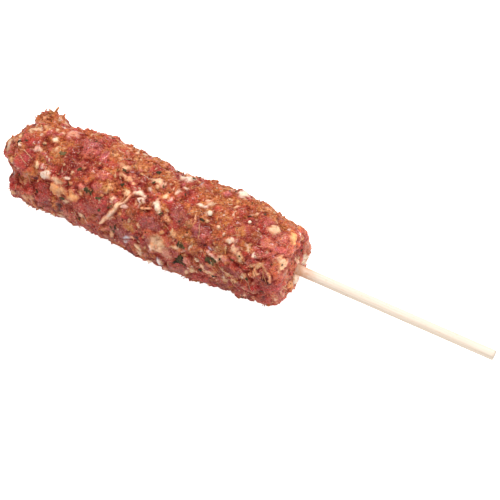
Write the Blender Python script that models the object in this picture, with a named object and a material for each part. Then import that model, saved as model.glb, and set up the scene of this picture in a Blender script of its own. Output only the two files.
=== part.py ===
"""Kofta skewer: a roll of coarse raw minced meat pressed round a plain wooden stick.

Units are metres, +Z is up, and +X runs from the closed end of the roll to the bare tip of
the stick. The roll lies on its flattened underside, with the origin at the bottom centre.
Angles round the roll are counted from the top (0) over the front, the -Y side (90).
"""

import math

import bmesh
import bpy
from mathutils import Matrix, Vector, noise

MM = 0.001

# Driving dimensions
STICK_DIAMETER = 4.0 * MM
STICK_LENGTH = 180.0 * MM
STICK_SHOWING = 79.0 * MM  # from the end of the roll to the bare tip
STICK_TURN = -0.7  # degrees in plan, so the tip lies a little off the roll's line
ROLL_LENGTH = 117.5 * MM
ROLL_RADIUS = 17.6 * MM
AXIS_HEIGHT = 16.8 * MM  # less than the radius: the soft underside sits flat
BOW = 1.1 * MM  # the middle of the roll lies this far in front of its ends
BORE_GAP = 0.3 * MM  # all round the stick

# The roll's two ends
BLUNT_EDGE = 11.0 * MM  # rounding of the closed end
MOUTH_EDGE = 6.0 * MM  # rounding of the end that the stick leaves
MOUTH_DISH = 1.6 * MM  # how far that end sinks in between its edge and the stick

# Fineness of the mesh
RING_STEP = 1.9 * MM
SEGMENTS = 60

# Lumps of mince: the size of the lumps, and how far they stand out
LUMPS = ((8.5 * MM, 0.8 * MM), (4.8 * MM, 0.4 * MM))
WARP_OFFSETS = ((0.0, 0.0, 0.0), (17.3, 4.1, 9.7), (5.9, 21.7, 13.1))  # in lumps

# What follows from them
OVERALL_LENGTH = ROLL_LENGTH + STICK_SHOWING
CLOSED_END_X = -OVERALL_LENGTH / 2
MOUTH_X = CLOSED_END_X + ROLL_LENGTH
TIP_X = OVERALL_LENGTH / 2

# Swells and hollows that show in the roll's outline:
# (distance from the closed end, angle, reach along, reach round, height), in mm and degrees
SWELLS = (
    (4.0, -62.0, 13.0, 48.0, -5.8),  # the sloping shoulder under the torn tag
    (21.0, -60.0, 5.0, 30.0, -1.9),  # the notch behind the tag
    (64.0, -60.0, 7.5, 34.0, -1.7),  # a waist at the back
    (90.0, -62.0, 9.0, 34.0, 1.0),  # the swell next to it
    (111.0, -60.0, 10.0, 44.0, -2.2),  # the back falls away to the mouth
    (13.0, 112.0, 13.0, 32.0, 1.2),  # low front, over the slab at the closed end
    (72.0, 118.0, 17.0, 34.0, 2.0),  # low front swell
    (106.0, 116.0, 11.0, 34.0, -0.9),  # low front, falling away to the mouth
    (36.0, 15.0, 12.0, 30.0, 0.5),
    (84.0, 30.0, 12.0, 30.0, 0.6),
)

# Creases where slabs of mince meet: (distance, angle, reach along, reach round, depth)
CREASES = (
    (6.0, 72.0, 9.0, 9.0, 2.2),  # over the slab at the closed end
    (19.0, 65.0, 8.0, 8.0, 1.2),
    (108.0, 98.0, 8.0, 8.0, 1.6),  # beside the mouth, low at the front
)

# The closed end's blunt nose, the shoulder behind it, the crease below it, the hollow under the
# nose, and the slab of lean beside that: (height, y) of each one's middle, its reach, and how far
# it stands along X
END_LOBES = (
    (Vector((5.0, -6.0)) * MM, 6.0 * MM, -1.2 * MM),
    (Vector((9.5, 5.0)) * MM, 8.0 * MM, 3.0 * MM),
    (Vector((1.0, -11.5)) * MM, 3.6 * MM, 5.2 * MM),
    (Vector((-6.0, -4.0)) * MM, 6.5 * MM, 3.6 * MM),
    (Vector((-5.0, -14.5)) * MM, 5.0 * MM, 1.0 * MM),
)
END_DEPTH = 20.0 * MM

# The hole left in the mouth's face above and behind the stick
POCKET = {"height": 7.6 * MM, "across": 2.6 * MM, "depth": 5.0 * MM, "y": 4.5 * MM}

# The torn tag of mince that stands on the shoulder of the closed end
TAG = {"x": 11.2 * MM, "angle": -45.0, "lift": -5.3 * MM}
TAG_SIZE = Vector((6.5, 4.6, 3.3)) * MM
TAG_BLUNTNESS = 0.8  # below 1, the tag is squarer than an egg


def direction(angle):
    """The unit vector square to the roll's line at an angle counted from the top."""
    turn = math.radians(angle)
    return Vector((0.0, -math.sin(turn), math.cos(turn)))


def centre_at(x):
    """The middle of the roll's cross-section: a slight bow in plan, level in height."""
    along = (x - CLOSED_END_X) / ROLL_LENGTH
    return Vector((x, -BOW * math.sin(math.pi * along), AXIS_HEIGHT))


def roll_profile():
    """(x, radius) from the closed end's centre over the side to the mouth's centre."""
    points = [Vector((CLOSED_END_X, 0.0))]
    steps = 3
    for i in range(1, steps):
        points.append(Vector((CLOSED_END_X, (ROLL_RADIUS - BLUNT_EDGE) * i / steps)))
    corner = max(4, round(BLUNT_EDGE * math.pi / 2 / RING_STEP))
    middle = Vector((CLOSED_END_X + BLUNT_EDGE, ROLL_RADIUS - BLUNT_EDGE))
    for i in range(corner + 1):
        turn = math.pi / 2 * i / corner
        points.append(middle + BLUNT_EDGE * Vector((-math.cos(turn), math.sin(turn))))
    straight = ROLL_LENGTH - BLUNT_EDGE - MOUTH_EDGE
    rings = round(straight / RING_STEP)
    for i in range(1, rings):
        x = CLOSED_END_X + BLUNT_EDGE + straight * i / rings
        points.append(Vector((x, ROLL_RADIUS)))
    corner = max(3, round(MOUTH_EDGE * math.pi / 2 / RING_STEP))
    middle = Vector((MOUTH_X - MOUTH_EDGE, ROLL_RADIUS - MOUTH_EDGE))
    for i in range(corner + 1):
        turn = math.pi / 2 * i / corner
        points.append(middle + MOUTH_EDGE * Vector((math.sin(turn), math.cos(turn))))
    face = ROLL_RADIUS - MOUTH_EDGE
    rings = round(face / RING_STEP)
    for i in range(1, rings):
        radius = face * (1 - i / rings)
        sink = MOUTH_DISH * math.sin(math.pi * radius / face)
        points.append(Vector((MOUTH_X - sink, radius)))
    points.append(Vector((MOUTH_X, 0.0)))
    return points


def near(distance, angle, spot):
    """How much of a swell or crease is felt at a place on the roll, from 0 to 1."""
    along = (distance - spot[0]) / spot[2]
    turn = (angle - spot[1] + 180.0) % 360.0 - 180.0
    around = turn / spot[3]
    return math.exp(-(along * along + around * around))


def warp(place, amount):
    """Shifts a place by smooth noise, a different one along each direction."""
    shifts = [noise.noise(place + Vector(offset)) for offset in WARP_OFFSETS]
    return place + amount * Vector(shifts)


def lump_height(place):
    """Packed lumps: each cell of mince bulges, and falls to a crease at its edges."""
    height = 0.0
    for size, stand in LUMPS:
        warped = warp(place / size, 0.35)
        distances, _ = noise.voronoi(warped)
        bulge = min(1.0, 1.6 * (distances[1] - distances[0]))
        height += stand * (bulge - 0.5)
    return height


def shape_roll(mesh):
    """Moves a plain turned roll's points to the lumpy, bowed and flattened real one."""
    mesh.normal_update()
    moved = {}
    for vert in mesh.verts:
        distance = (vert.co.x - CLOSED_END_X) / MM
        angle = math.degrees(math.atan2(-vert.co.y, vert.co.z))
        side = min(1.0, Vector(vert.co.yz).length / (0.5 * ROLL_RADIUS))
        rise = lump_height(vert.co)
        rise += side * sum(MM * s[4] * near(distance, angle, s) for s in SWELLS)
        rise -= side * sum(MM * s[4] * near(distance, angle, s) for s in CREASES)
        moved[vert] = vert.co + vert.normal * rise
    for vert, place in moved.items():
        centre = centre_at(place.x)
        vert.co = Vector((place.x, place.y + centre.y, place.z + centre.z))


def slide_end(mesh):
    """Pushes the closed end's lobes out and in along X, fading away up the roll."""
    for vert in mesh.verts:
        depth = vert.co.x - CLOSED_END_X
        if depth > END_DEPTH:
            continue
        fade = 0.5 + 0.5 * math.cos(math.pi * max(0.0, depth) / END_DEPTH)
        for (height, y), reach, shift in END_LOBES:
            spot = centre_at(vert.co.x) + Vector((0.0, y, height))
            away = (vert.co.yz - spot.yz).length / reach
            vert.co.x += shift * fade * math.exp(-away * away)


def press_pocket(mesh):
    """Sinks the small hole in the mouth's face, above and behind the stick."""
    heart = centre_at(MOUTH_X) + Vector((0.0, POCKET["y"], POCKET["height"]))
    for vert in mesh.verts:
        if vert.co.x < MOUTH_X - MOUTH_EDGE:
            continue
        away = (vert.co.yz - heart.yz).length / POCKET["across"]
        vert.co.x -= POCKET["depth"] * math.exp(-away * away)


def make_roll():
    """Turns the profile about X, then shapes it and flattens the underside."""
    mesh = bmesh.new()
    ring = [mesh.verts.new((p.x, 0.0, p.y)) for p in roll_profile()]
    edges = [mesh.edges.new(pair) for pair in zip(ring, ring[1:])]
    bmesh.ops.spin(
        mesh,
        geom=ring + edges,
        axis=(1.0, 0.0, 0.0),
        cent=(0.0, 0.0, 0.0),
        angle=2 * math.pi,
        steps=SEGMENTS,
        use_merge=True,
    )
    bmesh.ops.remove_doubles(mesh, verts=mesh.verts, dist=0.02 * MM)
    bmesh.ops.recalc_face_normals(mesh, faces=mesh.faces)
    shape_roll(mesh)
    slide_end(mesh)
    press_pocket(mesh)
    for vert in mesh.verts:
        vert.co.z = max(vert.co.z, 0.0)
    bmesh.ops.triangulate(mesh, faces=mesh.faces)
    return as_object("meat", mesh)


def make_tag():
    """The torn tag: a low ragged lump, to be joined to the roll."""
    mesh = bmesh.new()
    bmesh.ops.create_icosphere(mesh, subdivisions=3, radius=1.0)
    for vert in mesh.verts:
        unit = Vector(math.copysign(abs(a) ** TAG_BLUNTNESS, a) for a in vert.co)
        ragged = 1.0 + 0.25 * noise.noise(unit * 1.9) + 0.08 * noise.noise(unit * 3.5)
        vert.co = Vector(a * b for a, b in zip(unit * ragged, TAG_SIZE))
    tag = as_object("tag", mesh)
    x = CLOSED_END_X + TAG["x"]
    out = direction(TAG["angle"])
    tag.rotation_euler.x = -math.radians(TAG["angle"])
    tag.location = centre_at(x) + out * (ROLL_RADIUS + TAG["lift"])
    return tag


def stick_placing():
    """The stick's middle and its turn: it leaves the mouth's centre, a little askew."""
    turn = Matrix.Rotation(math.radians(-STICK_TURN), 4, "Z")
    exit_point = centre_at(MOUTH_X)
    along = turn @ Vector((1.0, 0.0, 0.0))
    reach = (TIP_X - MOUTH_X) / along.x - STICK_LENGTH / 2
    lie = turn @ Matrix.Rotation(math.pi / 2, 4, "Y")
    return Matrix.Translation(exit_point + along * reach) @ lie


def make_rod(name, radius, length, edge):
    """A plain round rod along its own Z, with its ends' edges eased."""
    mesh = bmesh.new()
    bmesh.ops.create_cone(
        mesh,
        cap_ends=True,
        segments=32,
        radius1=radius,
        radius2=radius,
        depth=length,
    )
    if edge:
        rims = [e for e in mesh.edges if abs(e.verts[0].co.z - e.verts[1].co.z) < 1e-6]
        bmesh.ops.bevel(
            mesh, geom=rims, offset=edge, segments=2, affect="EDGES", profile=0.5
        )
    rod = as_object(name, mesh)
    rod.matrix_world = stick_placing()
    return rod


def as_object(name, mesh):
    """Links a bmesh to the scene as an object of that name."""
    data = bpy.data.meshes.new(name)
    mesh.to_mesh(data)
    mesh.free()
    made = bpy.data.objects.new(name, data)
    bpy.context.scene.collection.objects.link(made)
    return made


def finish(made, name, colour, roughness, sharp=40.0):
    """Gives a piece its own plain material and smooth shading."""
    material = bpy.data.materials.new(name)
    material.use_nodes = True
    shader = material.node_tree.nodes["Principled BSDF"]
    shader.inputs["Base Color"].default_value = (*colour, 1.0)
    shader.inputs["Roughness"].default_value = roughness
    shader.inputs["Metallic"].default_value = 0.0
    made.data.materials.clear()
    made.data.materials.append(material)
    made.data.shade_smooth()
    made.data.set_sharp_from_angle(angle=math.radians(sharp))


def use_as_cutter(made):
    """Keeps a helper out of the model."""
    made.hide_render = True
    made.display_type = "WIRE"


def add_boolean(made, helper, operation):
    """Joins or cuts with a helper, exactly."""
    modifier = made.modifiers.new(helper.name, "BOOLEAN")
    modifier.operation = operation
    modifier.solver = "EXACT"
    modifier.object = helper


def centre_all():
    """Moves everything together, so the origin is at the middle of the underside."""
    bpy.context.view_layer.update()
    graph = bpy.context.evaluated_depsgraph_get()
    corners = []
    for made in (o for o in bpy.data.objects if not o.hide_render):
        mesh = made.evaluated_get(graph).to_mesh()
        corners += [made.matrix_world @ vert.co for vert in mesh.vertices]
    low = [min(corner[i] for corner in corners) for i in range(3)]
    high = [max(corner[i] for corner in corners) for i in range(3)]
    shift = Vector(((low[0] + high[0]) / 2, (low[1] + high[1]) / 2, low[2]))
    for made in bpy.data.objects:
        made.matrix_world = Matrix.Translation(-shift) @ made.matrix_world


def main():
    for old in list(bpy.data.objects):
        bpy.data.objects.remove(old)

    meat = make_roll()
    tag = make_tag()
    use_as_cutter(tag)
    add_boolean(meat, tag, "UNION")

    bore = make_rod("bore", STICK_DIAMETER / 2 + BORE_GAP, STICK_LENGTH + 2 * BORE_GAP, 0.0)
    use_as_cutter(bore)
    add_boolean(meat, bore, "DIFFERENCE")
    finish(meat, "raw_mince", (0.46, 0.145, 0.085), 0.45)

    stick = make_rod("stick", STICK_DIAMETER / 2, STICK_LENGTH, 0.15 * MM)
    finish(stick, "pale_wood", (0.90, 0.80, 0.64), 0.62)

    centre_all()


main()
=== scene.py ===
import math

import bmesh
import bpy
import numpy as np
from mathutils import Matrix, Vector, kdtree


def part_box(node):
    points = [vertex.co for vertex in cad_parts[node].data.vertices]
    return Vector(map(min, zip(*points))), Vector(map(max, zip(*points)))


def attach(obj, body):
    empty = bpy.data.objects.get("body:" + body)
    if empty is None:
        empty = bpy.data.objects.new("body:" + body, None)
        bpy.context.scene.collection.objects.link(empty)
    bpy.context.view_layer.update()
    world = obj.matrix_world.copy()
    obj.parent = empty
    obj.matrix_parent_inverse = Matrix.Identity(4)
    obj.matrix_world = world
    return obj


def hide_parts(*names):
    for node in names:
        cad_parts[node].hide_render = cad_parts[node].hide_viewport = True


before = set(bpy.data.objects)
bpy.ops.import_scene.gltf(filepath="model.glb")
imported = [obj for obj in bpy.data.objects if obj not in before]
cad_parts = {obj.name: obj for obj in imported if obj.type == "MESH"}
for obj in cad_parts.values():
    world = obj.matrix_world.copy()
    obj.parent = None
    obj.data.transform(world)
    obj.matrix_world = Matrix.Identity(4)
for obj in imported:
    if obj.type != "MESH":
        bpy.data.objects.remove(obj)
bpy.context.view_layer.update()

# Everything about the roll is worked out in mm, and turned to metres when a mesh is made.
mm = 0.001

# Where the roll and the stick lie, read from the frame
meatLow, meatHigh = (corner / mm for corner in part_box("meat"))
stickLow, stickHigh = (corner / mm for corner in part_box("stick"))
stickRadius = (stickHigh.z - stickLow.z) / 2
stickStart = Vector((stickLow.x, stickLow.y + stickRadius, stickLow.z + stickRadius))
stickTip = Vector((stickHigh.x, stickHigh.y - stickRadius, stickLow.z + stickRadius))
stickAlong = (stickTip - stickStart).normalized()
mouthX = meatHigh.x
mouthCentre = stickStart + stickAlong * ((mouthX - stickStart.x) / stickAlong.x)
rollBow = 1.1  # the middle of the roll lies this far in front of its ends
rollRadius = 17.6
rollLength = 118.25
closedEnd = mouthX - rollLength


def rollCentre(distance):
    along = min(1.0, max(0.0, distance / rollLength))
    bow = -rollBow * math.sin(math.pi * along)
    return Vector((closedEnd + distance, mouthCentre.y + bow, mouthCentre.z))


def rollPoint(distance, angle, radius=rollRadius):
    # angles are counted from the top, over the front side
    turn = math.radians(angle)
    out = Vector((0.0, -math.sin(turn), math.cos(turn)))
    return rollCentre(distance) + out * radius


def scrambled(cells, seed):
    # a repeatable random value from 0 to 1 for each whole-numbered cell
    mixed = cells[:, 0] * 73856093 ^ cells[:, 1] * 19349663 ^ cells[:, 2] * 83492791
    mixed = (mixed + seed * 374761393) & 0x7FFFFFFF
    mixed = ((mixed ^ (mixed >> 13)) * 1274126177) & 0x7FFFFFFF
    mixed = mixed ^ (mixed >> 16)
    return (mixed & 0xFFFFF) / 0xFFFFF


def softNoise(points, size, seed):
    # smooth values from -1 to 1 that change over about that size
    cells = points / size
    low = np.floor(cells).astype(np.int64)
    part = cells - low
    part = part * part * (3.0 - 2.0 * part)
    total = np.zeros(len(points))
    for corner in range(8):
        step = np.array([corner & 1, corner >> 1 & 1, corner >> 2 & 1])
        weight = np.prod(np.where(step, part, 1.0 - part), axis=1)
        total += weight * scrambled(low + step, seed)
    return total * 2.0 - 1.0


def layeredNoise(points, size, seed, layers=3):
    total, weight, whole = 0.0, 1.0, 0.0
    for layer in range(layers):
        total = total + weight * softNoise(points, size / 2 ** layer, seed + 31 * layer)
        whole += weight
        weight *= 0.55
    return total / whole


def noiseSum(points, parts):
    # several layers at once, each as its weight, size and seed
    return sum(weight * softNoise(points, size, seed) for weight, size, seed in parts)


def cellNoise(points, size, seed):
    # points strewn one to a cell: how far the nearest is, and a random value that belongs to it
    cells = points / size
    low = np.floor(cells).astype(np.int64)
    nearest = np.full(len(points), 9.0)
    pick = np.zeros(len(points))
    for x in (-1, 0, 1):
        for y in (-1, 0, 1):
            for z in (-1, 0, 1):
                cell = low + (x, y, z)
                spot = np.stack([scrambled(cell, seed + i) for i in range(3)], axis=1)
                away = np.linalg.norm(cell + spot - cells, axis=1)
                pick = np.where(away < nearest, scrambled(cell, seed + 7), pick)
                nearest = np.minimum(nearest, away)
    return nearest, pick


def rampUp(values, low, high):
    part = np.clip((values - low) / (high - low), 0.0, 1.0)
    return part * part * (3.0 - 2.0 * part)


def evened(values, edges, times, amount=0.5):
    # moves each point's value towards the mean of its neighbours'
    count = len(values)
    flat = values.reshape(count, -1).astype(float)
    links = np.bincount(edges.ravel(), minlength=count).astype(float)
    for _ in range(times):
        mean = np.empty_like(flat)
        for i in range(flat.shape[1]):
            near = np.bincount(edges[:, 0], flat[edges[:, 1], i], count)
            near += np.bincount(edges[:, 1], flat[edges[:, 0], i], count)
            mean[:, i] = near / links
        flat += amount * (mean - flat)
    return flat.reshape(values.shape)


def linear(colour):
    # from the 0 to 255 of a paint box to light
    value = np.asarray(colour, float) / 255.0
    return np.where(value <= 0.04045, value / 12.92, ((value + 0.055) / 1.055) ** 2.4)


mince = {
    "seed": 7,
    "fineness": 0.44,  # between the mesh's points
    "lumps": 6.2,
    "lumpStand": 1.2,
    "patches": 4.0,  # lean meat shows in patches of about this size
    "patchStand": 0.92,
    "knobs": 2.2,
    "knobStand": 0.52,
    "granules": 1.15,  # seasoned paste is made of these
    "granuleStand": 0.16,
    "fineStand": 0.12,
    "crumbStand": 0.12,
    "mottle": 0.30,
    "warps": ((0.9, 2.8, 40), (0.5, 1.2, 50), (0.25, 0.6, 55)),  # wavy edges: weight, size, seed
    "rags": ((0.22, 1.3, 61), (0.20, 0.7, 62)),
    "crumbs": ((1.0, 1.1, 33), (1.0, 0.7, 34)),
    "pastePatches": ((0.5, 4.2, 71), (0.35, 1.8, 72), (0.25, 0.8, 73)),
    "pasteShifts": ((1.0, 5.5, 81), (0.5, 2.4, 83)),
    "stains": ((0.6, 1.5, 85), (0.35, 0.7, 86)),
    "folds": ((1.0, 1.5, 87), (0.6, 0.8, 88)),
    "redPaste": (0.94, 0.74, 0.70),  # what the paste is multiplied by, where it is redder
    "goldPaste": (1.12, 1.15, 1.02),
    "pasteByFat": (1.08, 1.25, 1.25),
    "tinge": (0.10, -0.46),  # how green and blue change from crimson places to orange ones
    "moatDepth": 0.5,  # how deep the meat dips round a laid scrap
    "mouthPink": (216, 120, 100),  # the lean shows paler round the mouth
    "haloPaste": 0.9,  # how much more paste there is round the fat
    "upperPaste": 0.34,  # and on the upper and back sides
    "rimPaste": 0.34,  # and over the rims of scraps
    "laidBare": 0.50,  # how much less there is on laid scraps
    "bareMouth": 0.40,  # and in front near the mouth
    "pasteHides": 0.88,  # how much of what is under the paste it hides
    "foldStand": 0.14,  # how the folds of the fat stand, and how much lighter they are painted, a painted highlight on their raised parts
    "foldHighlight": 0.16,
    "ridgeHighlight": 0.2,  # a painted highlight: how much lighter everything is along its ridges
    "mouthPaleAndLit": 0.38,  # how much lighter everything is on the mouth's face: paler meat there, and painted light on that side-facing face
    "rimDraw": 0.9,  # how far the mouth's rim is drawn in
    "standProud": 0.5,  # most that it may pass the frame's box
    "juice": (0.80, 0.68, 0.54),  # the light that wet meat and oil let through, over every colour
    "juiceOnLean": (0.80, 0.72, 0.65),
    "juiceOnFat": (0.85, 0.77, 0.71),
}

# How each kind of scrap looks: its colour, the colour that stains it, how far it stands, how much
# paste hides it, how strongly its muscle fibres show, how fatty it is, and how soft its edge
scraps = {
    "whiteFat": ((244, 227, 214), (236, 188, 152), 0.50, -0.60, 0.0, 1.0, 0.35),
    "creamFat": ((242, 203, 170), (230, 150, 100), 0.50, -0.45, 0.0, 1.0, 0.4),
    "paleFat": ((226, 200, 182), (212, 150, 126), 0.35, -0.35, 0.2, 0.8, 0.4),
    "pinkFat": ((210, 142, 124), (194, 98, 84), 0.45, -0.35, 0.3, 0.7, 0.5),
    "tanFat": ((227, 172, 130), (208, 134, 92), 0.40, -0.30, 0.1, 0.6, 0.35),
    "orangeFat": ((242, 180, 126), (226, 132, 74), 0.50, -0.40, 0.0, 0.8, 0.4),
    "silverSkin": ((214, 214, 224), (196, 178, 190), 0.30, -1.1, 0.7, 0.5, 0.4),
    "pinkLean": ((194, 96, 96), (168, 60, 60), 0.60, -0.35, 0.9, 0.0, 0.5),
    "roseLean": ((194, 78, 74), (158, 44, 40), 0.50, -0.35, 0.9, 0.0, 0.55),
    "brightLean": ((170, 26, 28), (128, 16, 14), 0.50, -0.55, 0.7, 0.0, 0.55),
    "redLean": ((171, 54, 46), (134, 30, 25), 0.55, -0.30, 1.0, 0.0, 0.55),
    "salmonLean": ((207, 120, 98), (182, 80, 62), 0.55, -0.25, 0.9, 0.1, 0.5),
    "mauveLean": ((173, 90, 87), (140, 54, 50), 0.40, -0.35, 0.8, 0.0, 0.55),
    # dark lean is partly near-black meat and partly painted shade, laid in creases, gaps and pockets where
    # shade falls
    "darkLeanAndShade": ((92, 14, 10), (64, 8, 5), 0.25, -1.1, 0.4, 0.0, 0.55),
    "goldPaste": ((208, 132, 74), (188, 102, 56), 0.35, 0.10, 0.0, 0.15, 0.6),
    "brownPaste": ((163, 86, 52), (132, 58, 34), 0.20, 0.10, 0.1, 0.0, 0.6),
}
scrapSays = ("colour", "stain", "stand", "hidden", "fibre", "fat", "soft")
scraps = {kind: dict(zip(scrapSays, look)) for kind, look in scraps.items()}

# What the lean patches are, and what the granules of the paste are: how common each colour is
leanPatches = (
    (0.28, (172, 50, 42)),
    (0.20, (192, 72, 64)),
    (0.16, (200, 92, 68)),
    (0.12, (210, 112, 92)),
    (0.16, (140, 36, 28)),
    (0.08, (202, 90, 86)),
)
granules = (
    (0.22, (206, 119, 64)),
    (0.19, (193, 96, 53)),
    (0.13, (172, 84, 46)),
    (0.18, (219, 143, 88)),
    (0.11, (229, 163, 104)),
    (0.10, (160, 50, 34)),
    (0.05, (238, 196, 150)),
    (0.02, (116, 60, 32)),
)

# The scraps that give this roll its look, picked from a longer measured list and rounded: for each
# kind the distance from the closed end, angle, length, width and turn
laidScraps = {
    "roseLean": ((12, 45, 11, 5, -55), (45, 55, 11, 8, -10), (40, 70, 8, 6, 0)),
    "redLean": ((22, 70, 9, 7, 50), (58, -20, 5, 5, 0), (90, 100, 12, 4, 0), (115, 100, 8, 4, 15)),
    "brightLean": ((8, 85, 7, 5, 80), (112, 75, 8, 5, -10)),
    "salmonLean": ((34, 90, 6, 8, 10), (43, 20, 7, 4, -15), (110, 15, 8, 5, 0), (113, 0, 6, 5, 0)),
    "pinkLean": ((33, -5, 10, 8, 35), (85, 35, 8, 6, 25)),
    "mauveLean": ((56, 80, 10, 5, 0), (66, 50, 10, 5, 0), (75, 25, 9, 6, 40), (78, 100, 10, 6, 0)),
    "darkLeanAndShade": ((30, 85, 4, 5, -10), (62, 75, 4, 2, 75), (114, 60, 5, 2, 20)),
    "goldPaste": ((58, 65, 8, 4, 0), (98, 15, 5, 4, -25), (41, -35, 5, 6, -20)),
    "brownPaste": ((57, 45, 5, 5, -25), (104, 10, 6, 5, -15)),
    "tanFat": ((29, 60, 6, 5, 20), (18, 95, 7, 2, 75), (51, 10, 7, 3, -10), (48, 0, 6, 3, -15)),
    "orangeFat": ((27, 60, 5, 4, 30), (34, 60, 5, 5, 0)),
    "creamFat": ((27, 50, 6, 4, -10), (62, 0, 6, 3, 0), (71, 70, 8, 9, 0), (99, 35, 4, 3, 20),
                 (109, -5, 5, 4, -40)),
    "whiteFat": ((21, 50, 5, 3, 25), (66, 30, 6, 3, 45), (69, 75, 3, 6, 0), (69, -30, 6, 4, 0),
                 (90, -40, 6, 4, 45), (81, 5, 5, 2, 0), (97, 30, 5, 2, -30)),
    "pinkFat": ((24, -15, 6, 5, -25), (75, 75, 6, 7, 50)),
    "silverSkin": ((58, 85, 4, 5, 25), (73, 95, 4, 3, 40)),
}

# The same on the mouth's face, with the distance from the roll's middle line after the angle, and
# turns counted from straight up
mouthScraps = (
    ("salmonLean", 117, 5, 15, 8, 5, 20),
    ("pinkLean", 115, 15, 16, 6, 5, 20),
    ("creamFat", 116, 30, 15, 6, 5, 15),
    ("pinkFat", 118, 45, 11, 6, 3, -45),
    ("roseLean", 116, 70, 14, 7, 5, 10),
    ("salmonLean", 117, 80, 6, 7, 5, -40),
    ("pinkFat", 116, 105, 5, 6, 5, -25),
    ("orangeFat", 117, 165, 9, 4, 4, -85),
    ("orangeFat", 116, -5, 16, 5, 3, 60),
    ("orangeFat", 116, -50, 12, 6, 2, -15),
    ("brightLean", 116, -80, 8, 5, 4, -10),
    ("darkLeanAndShade", 116, -80, 8, 3, 2, -10),
    ("pinkFat", 117, -95, 12, 11, 4, -5),
    ("whiteFat", 117, -120, 10, 5, 3, 35),
    ("whiteFat", 118, -170, 10, 5, 5, 50),
)

# Strips, most of their places measured and rounded: kind, then the points that one passes, as
# distance, angle, width
laidStrips = (
    ("creamFat", ((47, 78, 0.5), (48.5, 71, 0.8), (50, 62, 0.95), (51, 54, 1.1), (52, 46, 1.0),
                  (53, 41, 0.6))),
    ("whiteFat", ((50, 62, 0.5), (50.8, 57, 0.85), (51.5, 51, 0.6))),
    ("creamFat", ((52.5, 43, 0.5), (54, 37, 0.4), (55.5, 29, 0.4), (57, 23, 0.5))),
    ("whiteFat", ((56, 24, 0.8), (58.5, 21, 1.1), (60.5, 22, 0.7))),
    ("whiteFat", ((59.5, 37, 0.45), (60, 31, 0.4), (59, 28, 0.35), (60, 25, 0.4), (61.5, 29, 0.45))),
    ("creamFat", ((61, 37, 0.35), (64, 33, 0.45))),
    ("tanFat", ((81, 20, 0.5), (82, 27, 0.45), (81.5, 36, 0.3))),
    ("tanFat", ((17, 91, 0.5), (18.5, 99, 0.45), (20, 111, 0.5))),
    ("tanFat", ((8, 62, 0.35), (11.5, 71, 0.4), (14, 75, 0.35))),
    ("paleFat", ((90, 52, 0.45), (94, 57, 0.4), (97.5, 65, 0.35))),
    ("tanFat", ((111, 41, 0.35), (114, 48, 0.4), (116, 60, 0.35))),
    ("paleFat", ((73, 92, 0.5), (76, 102, 0.45))),
)

# Creases, the first one measured: the points that one passes, as distance, angle, width, depth
laidCreases = (
    ((0.5, 70, 1.0, 1.2), (7.4, 65, 1.1, 1.4), (9.5, 69, 1.0, 1.2), (11.5, 75, 0.9, 0.9),
     (15.0, 78, 0.7, 0.6)),
    ((9.0, -34, 0.9, 0.8), (13.0, -28, 1.0, 1.0), (18.0, -30, 0.9, 0.8), (21.0, -44, 0.8, 0.5)),
    ((28.0, 6, 0.7, 0.7), (31.0, 16, 0.8, 1.0), (36.0, 12, 0.7, 0.6)),
    ((56.0, 88, 0.7, 0.6), (62.0, 84, 0.9, 1.0), (67.0, 92, 0.7, 0.6)),
    ((103.0, 94, 0.8, 0.7), (109.0, 98, 1.1, 1.5), (115.0, 96, 1.1, 1.3)),
    ((98.0, 50, 0.6, 0.5), (103.0, 56, 0.7, 0.7), (109.0, 66, 0.7, 0.7)),
    ((66.0, -30, 0.6, 0.5), (69.0, -18, 0.7, 0.7), (71.0, -6, 0.6, 0.5)),
    ((49.0, 14, 0.7, 0.5), (53.5, 18, 0.8, 0.9), (57.0, 30, 0.6, 0.4)),
)

# Dark pits, most of them measured and rounded: distance, angle, length, width, turn, depth
laidPits = (
    (16.0, 7, 3.7, 2.5, 0, 0.6),
    (22.0, -5, 2.2, 2.9, 0, 0.5),
    (31.5, 13, 2.8, 2.6, 0, 0.8),
    (62.5, 78, 2.3, 4.0, 0, 0.7),
    (53.0, 18, 1.8, 1.8, 0, 0.5),
    (114.5, 85, 5.4, 4.7, 48, 1.0),
    (31.0, 62, 2.4, 1.2, 30, 0.6),
    (73.0, 0, 2.6, 1.4, -20, 0.6),
    (70.0, -10, 2.6, 1.4, 40, 0.6),
    (57.5, 35, 1.6, 3.4, 10, 0.5),
)

# Scraps strewn over the rest: kind, how many, and the range of their lengths
strewnScraps = (
    ("redLean", 70, 3.0, 8.0),
    ("pinkLean", 90, 3.0, 8.0),
    ("salmonLean", 80, 2.5, 7.0),
    ("mauveLean", 40, 3.0, 7.0),
    ("brightLean", 50, 2.0, 5.0),
    ("darkLeanAndShade", 110, 1.2, 3.5),
    ("tanFat", 390, 1.0, 4.8),
    ("creamFat", 410, 1.0, 5.2),
    ("pinkFat", 170, 1.2, 5.0),
    ("paleFat", 140, 1.0, 4.6),
    ("whiteFat", 210, 0.9, 4.0),
    ("silverSkin", 10, 2.0, 4.5),
)


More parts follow.
